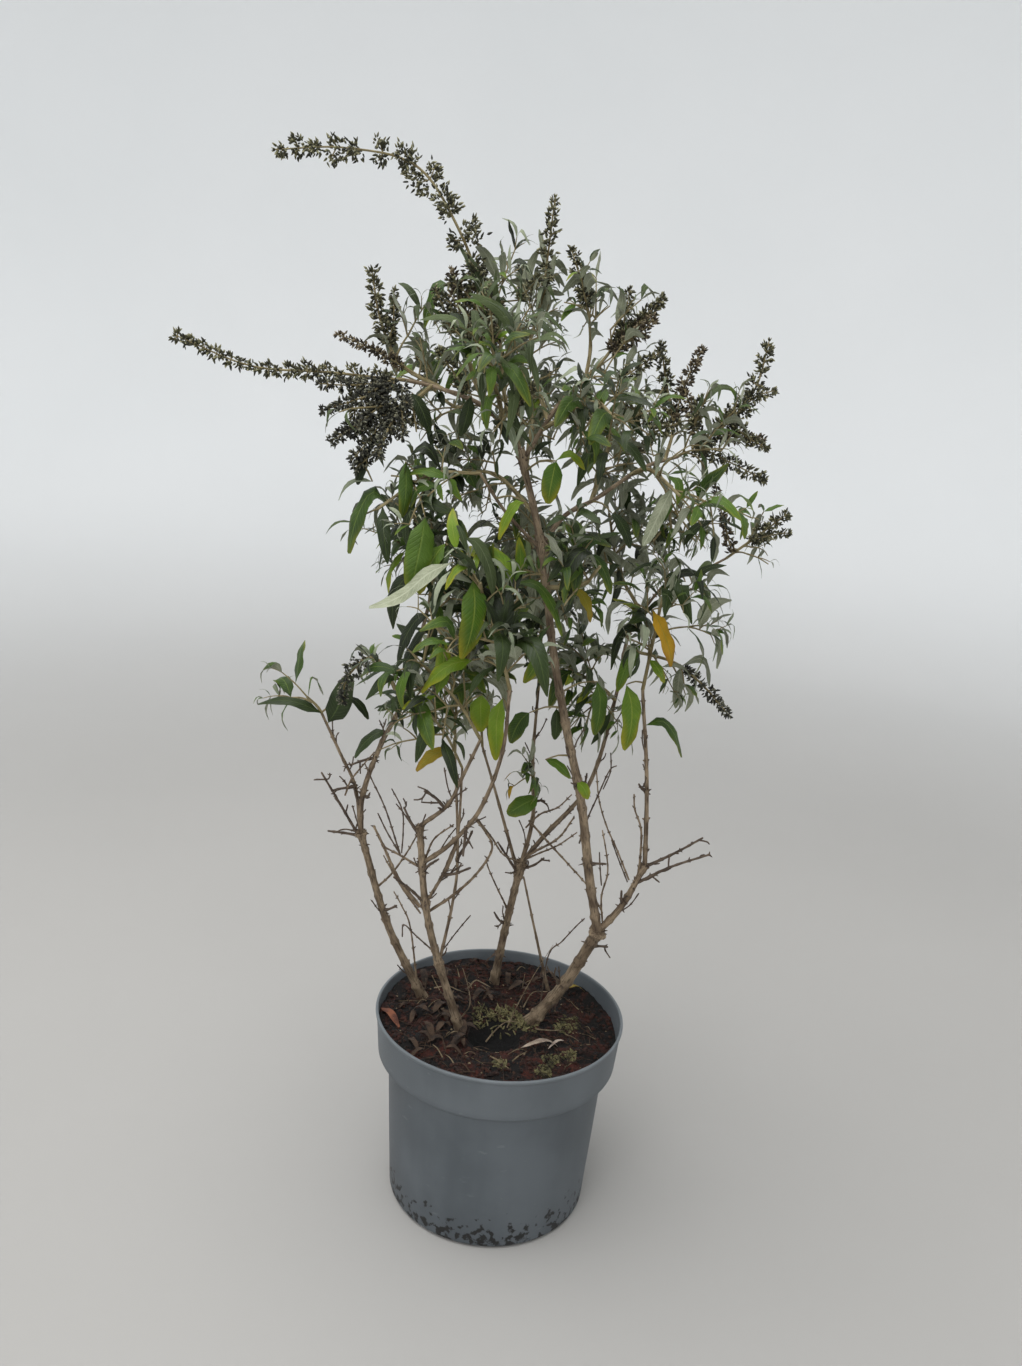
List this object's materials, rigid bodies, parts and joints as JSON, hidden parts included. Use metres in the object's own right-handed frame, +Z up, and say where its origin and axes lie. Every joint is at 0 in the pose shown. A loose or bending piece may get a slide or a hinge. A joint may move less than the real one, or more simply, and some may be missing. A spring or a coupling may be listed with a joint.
{
  "type": "potted butterfly bush",
  "caption": "Butterfly bush with bare woody stems, arching boughs, hanging lance-shaped leaves and dried flower spikes, standing in its round plastic nursery pot.",
  "frame": {"origin": "centre of the pot's flat underside, where it stands on the ground", "axes": "+Z up through the pot's axis and the crown; the bush's widest side and its front face -Y; +X to the right as seen from the front"},
  "size_m": [0.4874, 0.317, 0.8714],
  "materials": {
    "pot": "matte",
    "soil": "rough, crumbly",
    "bark": "rough",
    "leaves": "matte, felted"
  },
  "bodies": {
    "root": {"pot": "pot", "soil": "soil", "stem_left": "bark", "stem_inner_left": "bark", "stem_centre": "bark", "stem_right": "bark", "stem_thin": "bark", "leader": "bark", "bough_right": "bark", "bough_right_upright": "bark", "bough_left_outer": "bark", "bough_left": "bark", "bough_inner_rear": "bark", "bough_inner_upright": "bark", "bough_inner_curved": "bark", "bough_inner_arched": "bark", "bough_centre_rear": "bark", "bough_centre_left": "bark", "bough_centre_right": "bark", "bough_far_right": "bark", "crown_bough_left": "bark", "crown_bough_right": "bark", "side_bough_right": "bark", "side_bough_left": "bark", "leaves_spire_left": "leaves", "leaves_arm_left": "leaves", "leaves_cluster_left": "leaves", "leaves_tuft_left": "leaves", "leaves_tuft_top_left": "leaves", "leaves_tuft_top": "leaves", "leaves_tuft_top_right": "leaves", "leaves_tuft_far_right": "leaves", "leaves_crown_front": "leaves", "leaves_crown_rear": "leaves", "leaves_crown_rear_left": "leaves", "leaves_crown_rear_right": "leaves", "leaves_crown_front_right": "leaves", "leaves_spray_right": "leaves", "leaves_spray_right_rear": "leaves", "leaves_spray_right_front": "leaves", "leaves_spray_right_low": "leaves", "leaves_spray_left": "leaves", "leaves_spray_left_rear": "leaves", "leaves_leader_front": "leaves", "leaves_leader_rear": "leaves", "leaves_left_middle": "leaves", "leaves_left_plume": "leaves", "leaves_left_outer": "leaves", "leaves_front_middle": "leaves", "leaves_front_low": "leaves", "leaves_front_arched": "leaves", "leaves_inner_rear": "leaves", "leaves_rear_centre": "leaves", "leaves_rear_left": "leaves", "leaves_rear_right": "leaves", "leaves_right_low": "leaves", "leaves_right_plume": "leaves", "leaves_far_right": "leaves", "leaves_right_middle": "leaves", "leaves_low_sprig": "leaves"}
  },
  "joints": []
}
